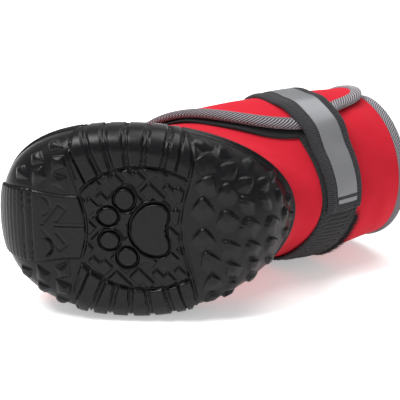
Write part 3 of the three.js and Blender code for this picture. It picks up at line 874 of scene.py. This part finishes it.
def collar_tuck(fraction):
    """The collar's tape lies on the wall's middle, and tucked in where the flap laps it."""
    degrees = collar_edge(fraction)[1]
    tuck = 1 - smoothstep(88, 106, degrees) + smoothstep(300, 318, degrees)
    return -1 - 0.7 * tuck


flap_tape = bound_edge(flap_edge, lambda f: FLAP_LIFT + FLAP_WALL / 2 + 0.5
                       + flap_stand(np.clip(f / CORNER_AT, 0, 1)),
                       FLAP_TAPE_WIDTH, FLAP_TAPE_PITCH, FLAP_TAPE_SLANT)
flap_binding = outward(grid_piece("flap_binding_tape", flap_tape[0], around=True,
                                  measure=flap_tape[1], caps=True))
# The dark colour given to each twill is painted shade for the valleys between its cords.
flap_binding.data.materials.append(
    twill_finish("grey_twill_cord", FLAP_TAPE_PITCH, FLAP_TAPE_SLANT,
                 (0.28, 0.255, 0.275), (0.007, 0.005, 0.007)))
collar_tape = bound_edge(collar_edge, collar_tuck, COLLAR_TAPE_WIDTH, COLLAR_TAPE_PITCH,
                         COLLAR_TAPE_SLANT)
collar_binding = outward(grid_piece("collar_binding_tape", collar_tape[0], around=True,
                                    measure=collar_tape[1], caps=True))
collar_binding.data.materials.append(
    twill_finish("grey_twill_tape", COLLAR_TAPE_PITCH, COLLAR_TAPE_SLANT,
                 (0.30, 0.29, 0.31), (0.06, 0.055, 0.062)))
for tape, node in ((flap_binding, "flap_binding"), (collar_binding, "collar_binding")):
    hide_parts(node)
    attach(tape, "root")

# --- Loop band -------------------------------------------------------------------------------
# A band of black loop tape sewn round the back of the shaft, for the strap's hooks. Its lower
# edge is worn into loose fibres.

BAND_WIDTH = 19
BAND_THICK = 1.7
GAP = 0.3
BAND_FROM = 131
BAND_TO = 296
FIBRES = 2400
FIBRE_SEED = 7


def band_station(degrees):
    """The bands' line round the shaft: lowest at the back, highest in front."""
    return 6.7 + 1.1 * (1 - np.cos(np.radians(degrees - 185)))


def band_place(degrees, sideways):
    """(station, degrees) this many millimetres up the boot from the bands' line."""
    station = band_station(degrees)
    step = last_point(station + 0.1, degrees) - last_point(station - 0.1, degrees)
    return station + sideways * 0.2 / np.linalg.norm(step, axis=-1), degrees


def band_grid(degrees, width, lift, thick, section, skin):
    """A flat oval section carried round the shaft: grid and measure. skin adds millimetres to the
    section's thickness from the way along and the way across."""
    turn = np.linspace(0, 2 * np.pi, section + 1)[None, :-1]
    middle = last_point(*band_place(degrees, 0 * degrees), lift)
    run = np.concatenate([[0], np.cumsum(np.linalg.norm(np.diff(middle, axis=0), axis=-1))])
    sideways = width[:, None] / 2 * signed_power(np.cos(turn), 0.55)
    upward = signed_power(np.sin(turn), 0.45)
    extra = skin(run[:, None], sideways, width[:, None]) * np.maximum(upward, -0.2)
    station, around_to = band_place(degrees[:, None] + 0 * sideways, sideways)
    offset = lift[:, None] + thick / 2 * (1 + upward) + extra
    grid = last_point(station, around_to, offset)
    across = np.concatenate([sideways, sideways[:, :1]], 1)
    return grid, np.stack(np.broadcast_arrays(run[:, None], across), -1)


def loop_skin(run, sideways, width):
    """Matted loops: small lumps along and across the tape."""
    lumps = np.sin(run * 2.1 + 1.7 * np.sin(sideways * 1.9)) * np.sin(sideways * 2.6 + run * 0.7)
    return 0.26 * lumps


def loop_finish():
    """Black nylon loop tape: dense matted fibres."""
    made = Finish("black_loop_tape")
    mat = made.noise(made.objects((1, 1, 1)), 1500, 5, 0.75)
    tuft = made.noise(made.objects((1, 1, 1)), 420, 3, 0.6)
    colour = made.ramp(mat, (0.35, (0.004, 0.004, 0.005)), (0.8, (0.030, 0.030, 0.032)))
    made.set(Base_Color=colour, Roughness=0.9, Specular_IOR_Level=0.3, Sheen_Weight=0.1,
             Normal=made.bump(mat, 0.0006, 0.8, made.bump(tuft, 0.0008, 0.6)))
    return made.material


black_loop = loop_finish()
band_degrees = np.linspace(BAND_FROM, BAND_TO, 520)
band_lift = np.full(band_degrees.shape, GAP)
loop_grid, loop_measure = band_grid(band_degrees, np.full(band_degrees.shape, float(BAND_WIDTH)),
                                    band_lift, BAND_THICK, 56, loop_skin)
loop_band = outward(grid_piece("loop_band_tape", loop_grid, around=True, measure=loop_measure,
                               caps=True))
loop_band.data.materials.append(black_loop)
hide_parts("loop_band")
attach(loop_band, "root")


def loose_fibres(count, seed):
    """Tapered three-sided hairs that start in the band's upper edge and curl out over it."""
    draw = np.random.default_rng(seed)
    degrees = draw.uniform(198, 292, count)
    start = draw.uniform(7.6, 9.4, count)
    length = draw.uniform(1.6, 5.0, count) * (0.6 + 0.4 * np.sin(np.radians((degrees - 198) * 1.9)))
    lean = draw.normal(0, 0.8, count)
    curl = draw.normal(0, 0.8, count)
    rise = draw.uniform(0.1, 0.9, count)
    rings = []
    for part in (0.0, 0.35, 0.7, 1.0):
        reach = length * part
        station, around_to = band_place(degrees + (lean * reach + curl * part ** 2) * 1.1,
                                        start + reach)
        spine = last_point(station, around_to, GAP + 1.1 + rise * reach * 0.5)
        radius = 0.11 * (1 - 0.8 * part)
        turn = np.array([0, 2, 4]) * np.pi / 3
        side = np.stack([np.cos(turn), np.sin(turn), 0.4 * np.sin(turn + 1)], -1) * radius
        rings.append(spine[:, None] + side[None])
    grid = np.stack(rings, 1)
    base = np.arange(count)[:, None, None, None] * 12
    ring = np.arange(3)[None, :, None, None] * 3
    k = np.arange(3)[None, None, :, None]
    k_next = (k + 1) % 3
    faces = np.concatenate([base + ring + k, base + ring + k_next, base + ring + 3 + k_next,
                            base + ring + 3 + k], -1).reshape(-1, 4).tolist()
    tips = np.arange(count)[:, None] * 12
    faces += (tips + [2, 1, 0]).tolist() + (tips + [9, 10, 11]).tolist()
    mesh = bpy.data.meshes.new("loop_band_fibres")
    mesh.from_pydata(laid(grid).reshape(-1, 3).tolist(), [], faces)
    hairs = bpy.data.objects.new("loop_band_fibres", mesh)
    bpy.context.scene.collection.objects.link(hairs)
    return hairs


fibres = outward(loose_fibres(FIBRES, FIBRE_SEED))
fibres.data.materials.append(black_loop)
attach(fibres, "root")

# --- Strap -----------------------------------------------------------------------------------
# Black webbing, overlocked along both edges. It runs from the right side over the flap, and
# presses onto the loop band at the back.

STRAP_THICK = 1.8
STRAP_LIFT = 3.3
STRAP_CREST = 5.1
STITCH_PITCH = 0.95
STRAP_FROM = -86
STRAP_TO = 189
STRAP_RINGS = 1300


def strap_lift(degrees):
    """The strap's underside: on the loop band at both ends, over the flap between, and highest
    where it crosses the flap's binding."""
    past = 1 - smoothstep(128, 148, degrees)
    over_flap = smoothstep(-70, -45, degrees) * past
    over_edge = smoothstep(95, 112, degrees) * past
    low = GAP + BAND_THICK + GAP
    return low + (STRAP_LIFT - low) * over_flap + (STRAP_CREST - STRAP_LIFT) * over_edge


def strap_width(degrees):
    """The webbing draws in a little towards its free end."""
    return np.interp(degrees, [-86, 100, 128, 150, 188], [20.5, 21.5, 20.0, 18.2, 17.0])


def overlocked(run, sideways, width):
    """A raised cord 3 mm wide along each edge, wrapped in stitches a pitch apart."""
    edge = smoothstep(width / 2 - 3.4, width / 2 - 2.4, np.abs(sideways))
    wraps = np.cos(run * 2 * np.pi / STITCH_PITCH + 0.9 * np.abs(sideways))
    weave = 0.04 * np.cos(sideways * 2 * np.pi / 1.4) * np.cos(run * 2 * np.pi / 1.6)
    return edge * (0.42 + 0.16 * wraps) + (1 - edge) * weave


def webbing_finish():
    """Black polyester webbing: fine ribs across it and a dry sheen."""
    made = Finish("black_webbing")
    uv = made.node("UVMap", {"uv_map": "cloth"}).outputs["UV"]
    parts = made.node("SeparateXYZ", Vector=uv).outputs
    ribs = made.math("COSINE", made.math("MULTIPLY", parts["X"], 2000 * np.pi / STITCH_PITCH))
    yarn = made.noise(made.objects((1, 1, 1)), 1900, 4, 0.7)
    mixed = made.math("ADD", made.math("MULTIPLY", ribs, 0.22), yarn)
    colour = made.ramp(mixed, (0.3, (0.006, 0.006, 0.008)), (0.8, (0.034, 0.034, 0.038)))
    made.set(Base_Color=colour, Roughness=0.8, Normal=made.bump(mixed, 0.0004, 0.7),
             Specular_IOR_Level=0.35, Sheen_Weight=0.1)
    return made.material


black_web = webbing_finish()
strap_degrees = np.linspace(STRAP_FROM, STRAP_TO, STRAP_RINGS)
strap_grid, strap_measure = band_grid(strap_degrees, strap_width(strap_degrees),
                                      strap_lift(strap_degrees), STRAP_THICK, 60, overlocked)
strap = outward(grid_piece("strap_webbing", strap_grid, around=True, measure=strap_measure,
                           caps=True))
strap.data.materials.append(black_web)
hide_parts("strap")
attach(strap, "root")

# --- Reflective tape -------------------------------------------------------------------------
# Silver-grey reflective tape sewn along the strap, 10 mm wide, barred across near its end, where
# a short fold of the same tape shows past the bar.

TAPE_SILVER = 10.4


def strip_on_strap(start, end, width, above, thick, steps, shift=0.6):
    """A thin flat strip lying on the strap: its grid."""
    degrees = np.linspace(start, end, steps)
    turn = np.linspace(0, 2 * np.pi, 33)[None, :-1]
    sideways = shift + width / 2 * signed_power(np.cos(turn), 0.3) + 0 * degrees[:, None]
    upward = thick / 2 * (1 + signed_power(np.sin(turn), 0.6))
    lift = strap_lift(degrees)[:, None] + STRAP_THICK + above + upward
    return last_point(*band_place(degrees[:, None] + 0 * sideways, sideways), lift)


def reflective_finish():
    """Reflective tape: satin silver-grey with a very fine bead grain."""
    made = Finish("reflective_tape")
    beads = made.node("TexVoronoi", Vector=made.objects((1, 1, 1)), Scale=5200.0)
    cloud = made.noise(made.objects((1, 1, 1)), 60, 3)
    colour = made.ramp(cloud, (0.3, (0.150, 0.152, 0.160)), (0.7, (0.180, 0.182, 0.190)))
    made.set(Base_Color=colour, Roughness=0.42, Metallic=0.25,
             Normal=made.bump(beads.outputs["Distance"], 0.00005, 0.4))
    return made.material


silver = reflective_finish()
tape_parts = [
    ("reflective_strip", strip_on_strap(-62, 178.6, TAPE_SILVER, 0.03, 0.35, 700), silver),
    ("reflective_fold", strip_on_strap(180.6, 183.2, TAPE_SILVER - 0.8, 0.05, 0.75, 16), silver),
    ("strap_bar_tack", strip_on_strap(178.9, 180.3, TAPE_SILVER - 0.2, 0.05, 0.55, 12), black_web),
]
for name, grid, finish in tape_parts:
    part = outward(grid_piece(name, grid, around=True, caps=True))
    part.data.materials.append(finish)
    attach(part, "root")


# --- Floor, light and camera -----------------------------------------------------------------
# A pale floor under a soft studio light from the upper left. The camera looks at the tread,
# turned a little towards the heel and tipped a little towards the left side.


def camera_axes():
    """Rows: the view's right, up and backward directions in boot axes. It looks straight at the
    tread, then is turned 8 degrees towards the heel, tipped 18 and rolled 1.3."""
    turn, tip, roll = np.radians([-8, 18, 1.3])
    about_up = np.array([[np.cos(turn), 0, np.sin(turn)], [0, 1, 0],
                         [-np.sin(turn), 0, np.cos(turn)]])
    about_side = np.array([[1, 0, 0], [0, np.cos(tip), -np.sin(tip)],
                           [0, np.sin(tip), np.cos(tip)]])
    about_view = np.array([[np.cos(roll), -np.sin(roll), 0], [np.sin(roll), np.cos(roll), 0],
                           [0, 0, 1]])
    return about_view @ about_side @ about_up @ np.diag([-1, 1, -1])


def area_light(name, place, size, power, colour=(1, 1, 1)):
    """A square soft light at place in metres, facing the boot's middle."""
    lamp = bpy.data.lights.new(name, "AREA")
    lamp.size = size
    lamp.energy = power
    lamp.color = colour
    light = bpy.data.objects.new(name, lamp)
    light.location = place
    light.rotation_mode = "QUATERNION"
    light.rotation_quaternion = (Vector((0, 0, 0.04)) - Vector(place)).to_track_quat("-Z", "Y")
    bpy.context.scene.collection.objects.link(light)
    return light


def studio_floor():
    """A wide pale floor, a little uneven in tone, with a glow of its own that softens shadows."""
    mesh = bpy.data.meshes.new("studio_floor")
    reach = 6.0
    mesh.from_pydata([(-reach, -reach, 0), (reach, -reach, 0), (reach, reach, 0),
                      (-reach, reach, 0)], [], [(0, 1, 2, 3)])
    floor = bpy.data.objects.new("studio_floor", mesh)
    bpy.context.scene.collection.objects.link(floor)
    made = Finish("pale_paper")
    tone = made.noise(made.objects((1, 1, 1)), 3, 2)
    made.set(Base_Color=made.ramp(tone, (0.3, (0.93, 0.93, 0.93)), (0.7, (0.95, 0.95, 0.95))),
             Roughness=0.9, Specular_IOR_Level=0.1, Emission_Color=(1, 1, 1, 1),
             Emission_Strength=0.38)
    mesh.materials.append(made.material)
    return floor


WORLD_LIGHT = 0.45
studio_floor()
area_light("key_light", (-0.45, -0.20, 0.95), 0.45, 10.5)
area_light("top_light", (0.20, 0.25, 0.95), 0.7, 7.0)
area_light("front_light", (0.25, -1.1, 0.50), 0.8, 0.5)
world = bpy.data.worlds.new("studio")
world.use_nodes = True
world.node_tree.nodes["Background"].inputs["Color"].default_value = (1, 1, 1, 1)
world.node_tree.nodes["Background"].inputs["Strength"].default_value = WORLD_LIGHT
bpy.context.scene.world = world
bpy.context.scene.view_settings.view_transform = "Standard"

VIEW_DISTANCE = 800
FRAME_CENTRE = (28.94, 12.47)
FOCAL_WIDTHS = 4.7
axes = camera_axes()
eye = laid(axes.T @ [*FRAME_CENTRE, VIEW_DISTANCE])
turned = (LAID_AXES @ axes.T).tolist()
lens = bpy.data.cameras.new("view")
lens.sensor_width = 36
lens.lens = 36 * FOCAL_WIDTHS
camera = bpy.data.objects.new("view", lens)
camera.matrix_world = Matrix.Translation(eye) @ Matrix(turned).to_4x4()
bpy.context.scene.collection.objects.link(camera)
bpy.context.scene.camera = camera
